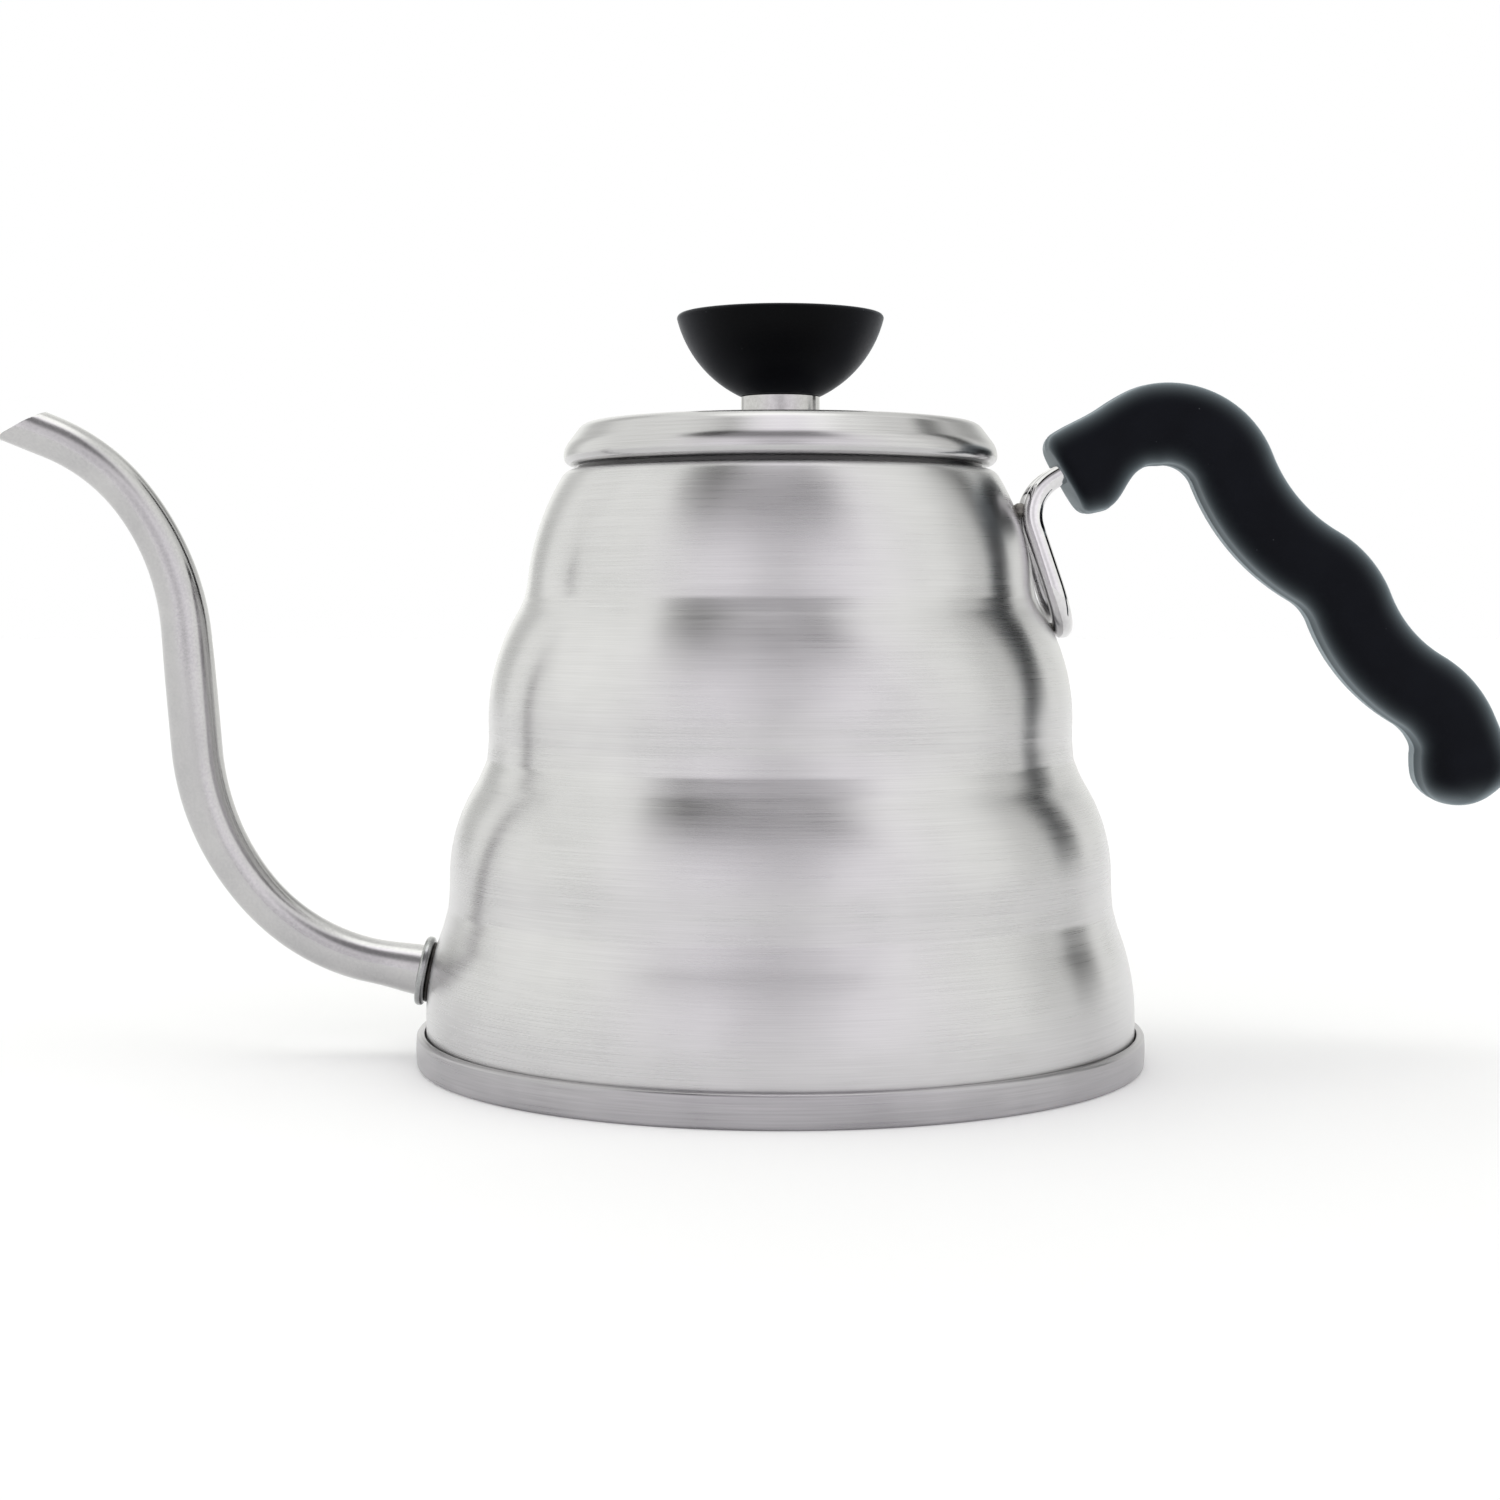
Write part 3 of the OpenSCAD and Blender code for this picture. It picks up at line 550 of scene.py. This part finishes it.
def tube_along(name, points, radii, bends, steel, sides, round_corners, closed_ends):
    """A tube along points in millimetres, as a plain mesh."""
    mesh = bpy.data.meshes.new(name)
    mesh.from_pydata([Vector(p) * MM for p in points], [(k, k + 1) for k in range(len(points) - 1)], [])
    for label, values in (("tube_radius", radii), ("bend_radius", bends)):
        mesh.attributes.new(label, "FLOAT", "POINT").data.foreach_set("value", [v * MM for v in values])
    piece = bpy.data.objects.new(name, mesh)
    scene.collection.objects.link(piece)
    modifier = piece.modifiers.new("tube", "NODES")
    modifier.node_group = tubes
    values = {"Sides": sides, "Corner Steps": 12, "Round Corners": round_corners,
              "Closed Ends": closed_ends, "Steel": steel}
    for socket in tubes.interface.items_tree:
        if socket.name in values:
            modifier[socket.identifier] = values[socket.name]
    settled(piece)
    edit = bmesh.new()
    edit.from_mesh(piece.data)
    bmesh.ops.remove_doubles(edit, verts=edit.verts, dist=1e-6)
    bmesh.ops.recalc_face_normals(edit, faces=edit.faces)
    edit.to_mesh(piece.data)
    edit.free()
    return piece


# Stainless tube, satin polished with a fine abrasive belt: soft-edged reflections, with faint
# marks a few tenths of a millimetre wide
def satin_steel(name, dark, light, low, high, mark_mm=0.5):
    material, tree, shader, place = new_material(name)
    marks = noise(tree, place, mark_mm, 3.0)
    mixed = summed(tree, marks, noise(tree, place, 12, 2.0))
    link_to(tree, shader, {"Base Color": blended(tree, ranged(tree, mixed, 0.25), dark, light),
                           "Roughness": ranged(tree, mixed, 0.25, low, high),
                           "Normal": bump(tree, marks, 0.0008)})
    shader.inputs["Metallic"].default_value = 1.0
    return material


spout_steel = satin_steel("satin_stainless_tube", "#B5B4B5", "#C1C0C0", 0.16, 0.22)
spout = tube_along("gooseneck_spout", [(-x, 0, z) for x, z, heading in spout_line],
                   [eased(s, spout_stations) / 2 for s in spout_run], [0] * len(spout_run),
                   spout_steel, 64, False, False)


def cut_off(piece, centre, normal):
    """Take away what lies past a plane through a point in millimetres."""
    edit = bmesh.new()
    edit.from_mesh(piece.data)
    bmesh.ops.bisect_plane(edit, geom=edit.verts[:] + edit.edges[:] + edit.faces[:], dist=1e-7,
                           plane_co=Vector(centre) * MM, plane_no=normal, clear_outer=True)
    edit.to_mesh(piece.data)
    edit.free()


cut_off(spout, (-tip_x, 0, tip_z), Vector((-sin(radians(TIP_CUT)), 0, cos(radians(TIP_CUT)))))
wall = spout.modifiers.new("wall", "SOLIDIFY")
wall.thickness = SPOUT_WALL * MM
wall.offset = -1
wall.use_even_offset = True
lip = spout.modifiers.new("lip", "BEVEL")
lip.width = LIP_EDGE * MM
lip.segments = 2
lip.limit_method = "ANGLE"
lip.angle_limit = radians(40)
settled(spout)
smooth(spout, 50)
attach(spout, "kettle")
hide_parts("spout_tube")

# The flange is a turned steel collar, pushed up to the wall and polished; it hides the weld
# ring that holds and seals the tube in the shell.
FLANGE_GAP = 0.4
FLANGE_D, FLANGE_T, FLANGE_ROUND = 13.9, 1.8, 0.8
WELD_LOW, WELD_HIGH, WELD_W = -0.5, 0.45, 0.5
at_root = Matrix.Translation(Vector((-root_x, 0, SPOUT_ROOT_Z)) * MM) \
    @ Matrix.Rotation(radians(root_heading - 90), 4, "Y")
flange_steel = satin_steel("polished_stainless_flange", "#8F9192", "#A8A9A9", 0.10, 0.18)
bore_r = SPOUT_ROOT_D / 2 + FIT_GAP
flange = turned("spout_collar",
                [(bore_r, FLANGE_GAP)]
                + flat(path((FLANGE_D / 2 - FLANGE_ROUND, FLANGE_GAP), 0,
                            [(FLANGE_ROUND, 90), (FLANGE_T - 2 * FLANGE_ROUND, 0), (FLANGE_ROUND, 90)], 0.2))
                + [(bore_r, FLANGE_GAP + FLANGE_T)], flange_steel, 96, at_root)
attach(flange, "kettle")
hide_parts("spout_flange")


# Weld metal, pickled and brushed: a duller, slightly brown steel with a rippled skin
def weld_metal(name, dark, light):
    material, tree, shader, place = new_material(name)
    ripples = noise(tree, place, 0.6, 3.0)
    link_to(tree, shader, {"Base Color": blended(tree, ripples.outputs[0], dark, light),
                           "Normal": bump(tree, ripples, 0.06)})
    shader.inputs["Metallic"].default_value = 1.0
    shader.inputs["Roughness"].default_value = 0.4
    return material


# Weld metal, with its colour made nearly black: painted shade for the gap under the collar
spout_weld_skin = weld_metal("heat_tinted_weld_metal", "#2A2827", "#4A4846")
bead = path((bore_r + WELD_W, WELD_LOW), 20, [(0.55, 130)], 0.15)
weld_ring = turned("spout_weld_bead", [(bore_r, WELD_LOW)] + flat(bead) + [(bore_r, WELD_HIGH)],
                   spout_weld_skin, 96, at_root)
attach(weld_ring, "kettle")
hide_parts("spout_weld")

# ---- Handle wire ----
# One length of 4 mm stainless rod, bent into a narrow U and polished bright. Its foot lies
# against the body, two weld nuggets hold its legs to the shoulder, and its ends are pushed into
# the grip.
WIRE_D = 4
LEG_GAP = 9
LOOP_W = 19
WELD_DROP = 8
LOOP_DROP = 31
WELD_GAP = 0.4
LOOP_GAP = 0.3
WIRE_RISE = 31
WIRE_NECK = 10.7
WIRE_BORE = 20
CORNER_UP = 2.7
CORNER_BEND, LOOP_BEND = 8.5, 8


def wall_r(z):
    """Radius of the body's outside at a height."""
    for (r0, z0, _), (r1, z1, _) in zip(wall_line, wall_line[1:]):
        if z0 <= z <= z1:
            return r0 + (r1 - r0) * (z - z0) / (z1 - z0)


weld_z = body_top - WELD_DROP
loop_z = body_top - LOOP_DROP
leg_top_x = sqrt((wall_r(weld_z) + WIRE_D / 2 + WELD_GAP) ** 2 - (LEG_GAP / 2) ** 2)
loop_x = wall_r(loop_z) + WIRE_D / 2 + LOOP_GAP
leg_slope = (loop_x - leg_top_x) / (weld_z - loop_z)
leg_corner = Vector((leg_top_x - leg_slope * CORNER_UP, LEG_GAP / 2, weld_z + CORNER_UP))
loop_corner = Vector((loop_x, LOOP_W / 2, loop_z))
rise_way = Vector((cos(radians(WIRE_RISE)), 0, sin(radians(WIRE_RISE))))
wire_end = leg_corner + (WIRE_NECK + WIRE_BORE) * rise_way
near_leg = [wire_end, leg_corner, loop_corner]
wire_points = near_leg + [Vector((p.x, -p.y, p.z)) for p in reversed(near_leg)]
wire_steel = satin_steel("bright_stainless_rod", "#D2D1D2", "#DEDDDE", 0.04, 0.09, 0.8)
wire = tube_along("handle_rod", wire_points, [WIRE_D / 2] * 6,
                  [0, CORNER_BEND, LOOP_BEND, LOOP_BEND, CORNER_BEND, 0], wire_steel, 48, True, True)
smooth(wire, 50)
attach(wire, "kettle")
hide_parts("handle_wire")

# The nuggets are spots of weld metal: one behind each leg's bend and a long one at the loop's foot
NUGGET_R = 1.5
NUGGET_OUT = WELD_GAP / 2 + 0.5
FOOT_NUGGET_R, FOOT_NUGGET_HALF = 1.1, 2.6
RIPPLE, RIPPLE_Y, RIPPLE_Z = 0.06, 9000, 7000
weld_skin = weld_metal("pickled_weld_metal", "#55524F", "#8E8B87")
nuggets = bmesh.new()
spot_r = wall_r(weld_z) + NUGGET_OUT
spot_turn = asin(LEG_GAP / 2 / (spot_r + WIRE_D / 2))
spots = [((spot_r * cos(side * spot_turn), spot_r * sin(side * spot_turn), weld_z), (NUGGET_R,) * 3)
         for side in (-1, 1)]
spots.append(((wall_r(loop_z), 0, loop_z), (FOOT_NUGGET_R, FOOT_NUGGET_HALF, FOOT_NUGGET_R)))
for centre, half in spots:
    place = Matrix.Translation(Vector(centre) * MM) @ Matrix.Diagonal((*half, 1))
    lump = bmesh.ops.create_icosphere(nuggets, subdivisions=4, radius=MM, matrix=place)
    for vertex in lump["verts"]:
        offset = vertex.co - Vector(centre) * MM
        vertex.co -= offset * RIPPLE * (1 + sin(offset.y * RIPPLE_Y) * cos(offset.z * RIPPLE_Z))
nugget_mesh = bpy.data.meshes.new("weld_nuggets")
nuggets.to_mesh(nugget_mesh)
nuggets.free()
nugget_mesh.materials.append(weld_skin)
nugget_piece = bpy.data.objects.new("weld_nuggets", nugget_mesh)
scene.collection.objects.link(nugget_piece)
smooth(nugget_piece, 60)
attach(nugget_piece, "kettle")
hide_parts("handle_welds")

# ---- Grip ----
# A solid moulding of black phenolic, compression moulded in two halves, with a thick block at
# the front where the rod's ends are pressed in and four finger waves down its length.
GRIP_H, GRIP_W, GRIP_ROUND = 15.9, 20, 5.5
GRIP_RISE = 36.6
FRONT_TILT, FRONT_FADE = 6.3, 12
GRIP_DROP = 1.7
END_REACH = 7.5
PART_LINE = (0.12, 0.35)
SIDE_CROWN = 0.08


# Phenolic moulding, tumbled and lightly blasted: nearly black with a blue cast, a fine matte
# grain of about 0.15 mm drawn at 0.35 mm so that it shows, and a few specks of dust. The colour is
# lightened towards a blue-grey where the surface turns away from view: a painted rim highlight
def phenolic(name, dark, light, bloom, low, high):
    material, tree, shader, place = new_material(name)
    grain = noise(tree, place, 0.35, 2.0)
    drifts = noise(tree, place, 9, 3.0)
    specks = add(tree, "ShaderNodeTexVoronoi", {"Vector": place, "Scale": 1 / (3.2 * MM)})
    dust = add(tree, "ShaderNodeMapRange", {"Value": specks.outputs["Distance"], "From Min": 0.02,
                                            "From Max": 0.05, "To Min": 0.2, "To Max": 0.0})
    dusty = blended(tree, dust, blended(tree, drifts.outputs[0], dark, light), "#8C9196")
    # Painted rim highlight: the base colour turns towards the rim colour where the surface faces away from
    # view
    facing = add(tree, "ShaderNodeLayerWeight", {"Blend": 0.5}).outputs["Facing"]
    turned_away = add(tree, "ShaderNodeMath", {0: facing, 1: 2.2}, operation="POWER")
    link_to(tree, shader, {"Base Color": blended(tree, turned_away, dusty, bloom),
                           "Roughness": ranged(tree, summed(tree, grain, drifts), 0.3, low, high),
                           "Normal": bump(tree, grain, 0.012)})
    shader.inputs["IOR"].default_value = 1.5
    shader.inputs["Specular IOR Level"].default_value = 0.05
    shader.inputs["Sheen Weight"].default_value = 0.3
    shader.inputs["Sheen Roughness"].default_value = 0.22
    shader.inputs["Sheen Tint"].default_value = linear("#D3DCE2")
    return material


grip_start = Vector((leg_corner.x, leg_corner.z)) + WIRE_NECK * toward(WIRE_RISE) - Vector((0, GRIP_DROP))
grip_line = path(grip_start, GRIP_RISE,
                 [(13, 0), (14.2, -105), (38, 38.3), (16.7, -38.5), (32, 38.3), (17, -48.9), (4, 0)], 0.8)
grip_run = lengths(grip_line)
grip_l = grip_run[-1]
GRIP_HALF = GRIP_H / 2
far_part = [(20, GRIP_HALF), (grip_l - 8, GRIP_HALF), (grip_l, GRIP_HALF + 1)]
above_line = [(0, GRIP_HALF + 1), (14, GRIP_HALF - 0.5)] + far_part
below_line = [(0, GRIP_HALF + 0.4), (3.6, GRIP_HALF + 1.5), (11.5, GRIP_HALF - 1)] + far_part


def grip_ring(spot, above, below, width, rounding, tilt=0):
    """A rounded rectangle across the grip, with a fine ridge where the mould parts."""
    x, z, heading = spot
    ridge, ridge_half = PART_LINE
    corners = []
    for corner in range(4):
        u0 = above - rounding if corner in (0, 3) else rounding - below
        v0 = (1 if corner < 2 else -1) * (width / 2 - rounding)
        corners += [(u0 + rounding * cos(radians(a)), v0 + rounding * sin(radians(a)))
                    for a in (90 * corner + 9 * k for k in range(11))]
        if corner % 2:
            side, reach = (1, above) if corner == 3 else (-1, below)
            corners += [(side * reach, -side * ridge_half), (side * (reach + ridge), 0),
                        (side * reach, side * ridge_half)]
    up = left_of(heading - tilt)
    crowned = [(u * (1 - SIDE_CROWN * (2 * v / width) ** 2), v) for u, v in corners]
    return [(x + u * up.x, -v, z + u * up.y) for u, v in crowned]


def lofted(name, rings, material):
    """A closed skin over rings of equal count."""
    count = len(rings[0])
    faces = [list(range(count)), list(range(len(rings) * count - 1, (len(rings) - 1) * count - 1, -1))]
    for k in range(len(rings) - 1):
        for j in range(count):
            n = (j + 1) % count
            faces.append((k * count + j, k * count + n, (k + 1) * count + n, (k + 1) * count + j))
    piece = made(name, [p for ring in rings for p in ring], faces, material)
    edit = bmesh.new()
    edit.from_mesh(piece.data)
    bmesh.ops.recalc_face_normals(edit, faces=edit.faces)
    edit.to_mesh(piece.data)
    edit.free()
    return piece


FACE_ROUND, FACE_OUT = 2.4, 1.2


def grip_slice(spot, s, inset=0):
    """The ring at s along the grip's line, drawn in by an inset all round."""
    above, below = (eased(s, stations) - inset for stations in (above_line, below_line))
    rounding = min(max(GRIP_ROUND - inset, 1), (above + below) / 2 - 0.5)
    return grip_ring(spot, above, below, GRIP_W - 2 * inset, rounding,
                     FRONT_TILT * min(1, max(0, 1 - s / FRONT_FADE)))


def face_slice(angle):
    """A ring of the front face's rounded edge."""
    s = FACE_ROUND * (1 - cos(angle)) - FACE_OUT
    spot = (*(grip_start + s * toward(GRIP_RISE)), GRIP_RISE)
    return grip_slice(spot, s, FACE_ROUND * (1 - sin(angle)))


def end_slice(angle):
    """A ring of the domed far end."""
    x, z, heading = grip_line[-1]
    reach = END_REACH * sin(angle) * toward(heading)
    end_half = far_part[-1][1]
    half = end_half * cos(angle)
    return grip_ring((x + reach.x, z + reach.y, heading), half, half,
                     GRIP_W - 2 * end_half * (1 - cos(angle)), min(GRIP_ROUND, half - 0.01))


END_TURNS = (8, 16, 24, 32, 40, 48, 55, 62, 68, 74, 79, 84, 88)
grip_rings = [face_slice(radians(a)) for a in range(0, 91, 15)]
grip_rings += [grip_slice(spot, s) for spot, s in zip(grip_line, grip_run) if s > FACE_ROUND - FACE_OUT]
grip_rings += [end_slice(radians(a)) for a in END_TURNS]
# The grip's last colour, #93A1A8, is its painted rim highlight
grip_black = phenolic("moulded_phenolic_grip", "#0A0B10", "#13151B", "#93A1A8", 0.40, 0.52)
grip = lofted("handle_grip_moulding", grip_rings, grip_black)
drill_l = WIRE_BORE + 5
for side in (-1, 1):
    bore_middle = Vector((wire_end.x, side * LEG_GAP / 2, wire_end.z)) - drill_l / 2 * rise_way
    drilled(grip, bore_middle, rise_way, WIRE_D / 2 + FIT_GAP, drill_l)
smooth(grip, 40)
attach(grip, "kettle")
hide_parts("handle_grip")

# ---- Lid ----
# A spun steel cap with a rolled brim, satin brushed, spot welded to a pressed skirt that slides
# down into the neck and holds the lid by friction. A small vent lets the steam out.
SKIRT_T = 0.6
BRIM_STEP = 0.1
BRIM_LOW_R, BRIM_UP_R = 1.75, 4.5
BEVEL_TURN, BEVEL_L = 127, 3.3
KNUCKLE_R, KNUCKLE_TURN = 3.2, 175.7
LID_SHEET = 0.8
BRIM_RETURN = 0.5
VENT_X, VENT_D = 24, 3
SCREW_HOLE_R = 2.2
DOME_CLEAR = 1
DOME_STEPS = 14
lid_steel = brushed_steel("satin_brushed_lid", "#B3B2B3", "#C5C4C5", 0.19, 0.27, 0.35, 0.3, 30, 0.002)
lid_low, lid_high = box_mm("lid_cover")
skirt_low, skirt_high = box_mm("lid_skirt")
brim_z = lid_low.z + BRIM_STEP
brim_edge = path((lid_high.x - BRIM_LOW_R, brim_z), 0,
                 [(BRIM_LOW_R, 90), (BRIM_UP_R, BEVEL_TURN - 90), (BEVEL_L, 0),
                  (KNUCKLE_R, KNUCKLE_TURN - BEVEL_TURN)], 0.35)
collar_r = box_mm("knob_collar")[1].x
dome_flat = collar_r + DOME_CLEAR
knuckle_r, knuckle_z = brim_edge[-1][:2]
dome_rise, dome_run = lid_high.z - knuckle_z, knuckle_r - dome_flat
dome_r = (dome_run ** 2 + dome_rise ** 2) / (2 * dome_rise)
dome_turns = [degrees(asin(dome_run / dome_r)) * (1 - k / DOME_STEPS) for k in range(1, DOME_STEPS + 1)]
lid_line = brim_edge + [(dome_flat + dome_r * sin(radians(a)), lid_high.z - dome_r * (1 - cos(radians(a))),
                         180 - a) for a in dome_turns]
lid = turned("lid_cap",
             [(skirt_high.x - BRIM_RETURN, lid_low.z), (skirt_high.x, lid_low.z),
              (skirt_high.x + BRIM_STEP, brim_z)]
             + flat(lid_line)
             + [(SCREW_HOLE_R, lid_high.z), (SCREW_HOLE_R, lid_high.z - LID_SHEET)]
             + flat(shifted(lid_line, LID_SHEET))[::-1]
             + [(skirt_high.x - BRIM_RETURN, lid_low.z + LID_SHEET)], lid_steel)
drilled(lid, (VENT_X, 0, lid_high.z - 2), (0, 0, 1), VENT_D / 2, 10)
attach(lid, "lid")
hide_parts("lid_cover")

# The skirt's steel is painted dark grey: painted shade for the gap under the lid's brim
skirt_steel = brushed_steel("pressed_steel_skirt", "#403F40", "#545354", 0.3, 0.42, 0.4)
SKIRT_GAP = 0.3
SKIRT_EDGE = 0.1
skirt_r = mouth_r - SKIRT_GAP
seat_z = skirt_high.z - SKIRT_T
skirt = turned("lid_skirt_pressing",
               [(skirt_r - SKIRT_T, skirt_low.z + SKIRT_EDGE), (skirt_r - SKIRT_T + SKIRT_EDGE, skirt_low.z),
                (skirt_r - SKIRT_EDGE, skirt_low.z), (skirt_r, skirt_low.z + SKIRT_EDGE), (skirt_r, seat_z),
                (skirt_high.x, seat_z), (skirt_high.x, skirt_high.z), (skirt_r - SKIRT_T, skirt_high.z)],
               skirt_steel)
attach(skirt, "lid")
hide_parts("lid_skirt")

# ---- Knob ----
# A bowl-shaped phenolic moulding on a polished steel collar. A brass insert is moulded into
# its foot, and a screw with a washer comes up through the lid into it.
KNOB_EDGE = 0.9
FOOT_OVER = 0.1
BOWL_END = 76
DISH_IN, DISH_DEPTH = 2.5, 0.5
collar_low, collar_high = box_mm("knob_collar")
collar_steel = satin_steel("polished_steel_collar", "#B1AFAF", "#BEBDBD", 0.10, 0.18, 0.8)
COLLAR_ROUND = 0.25
collar = turned("knob_collar_ring",
                [(SCREW_HOLE_R, collar_low.z)]
                + flat(path((collar_r - COLLAR_ROUND, collar_low.z), 0,
                            [(COLLAR_ROUND, 90), (collar_high.z - collar_low.z - 2 * COLLAR_ROUND, 0),
                             (COLLAR_ROUND, 90)], 1)) + [(SCREW_HOLE_R, collar_high.z)], collar_steel, 128)
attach(collar, "lid")
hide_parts("knob_collar")

knob_low, knob_high = box_mm("knob")
knob_r, knob_h = knob_high.x, knob_high.z - knob_low.z
foot_r = collar_r + FOOT_OVER
bowl = Vector((knob_r - foot_r, knob_h - KNOB_EDGE))
bowl_bend = 2 * (BOWL_END - direction(bowl))
bowl_r = bowl.length / (2 * sin(radians(bowl_bend / 2)))
bowl_side = path((foot_r, knob_low.z), BOWL_END - bowl_bend, [(bowl_r, bowl_bend)], 0.5)
edge_hub = Vector((knob_r - KNOB_EDGE, knob_high.z - KNOB_EDGE))
insert_high = box_mm("knob_insert")[1]
# The knob's last colour, #3C3E46, is its painted rim highlight
knob_black = phenolic("moulded_phenolic_knob", "#040405", "#090A0C", "#3C3E46", 0.36, 0.46)
knob = turned("knob_bowl",
              [(insert_high.x, knob_low.z)] + flat(bowl_side) + flat(arc(edge_hub, KNOB_EDGE, 10, 90, 8))
              + [(knob_r - DISH_IN, knob_high.z)]
              + [(knob_r - DISH_IN * (1 + k / 6), knob_high.z - DISH_DEPTH * (1 - cos(radians(30 * k))) / 2)
                 for k in range(1, 7)]
              + [(0, knob_high.z - DISH_DEPTH), (0, insert_high.z), (insert_high.x, insert_high.z)],
              knob_black, 192)
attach(knob, "lid")
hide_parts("knob")

dress("knob_screw", collar_steel)
dress("knob_washer", collar_steel)

# Turned brass, left as machined: warm yellow with fine rings from the tool
dress("knob_insert", brushed_steel("turned_brass", "#B08A45", "#CDA95E", 0.2, 0.3, 0.3, 0.3, 10))
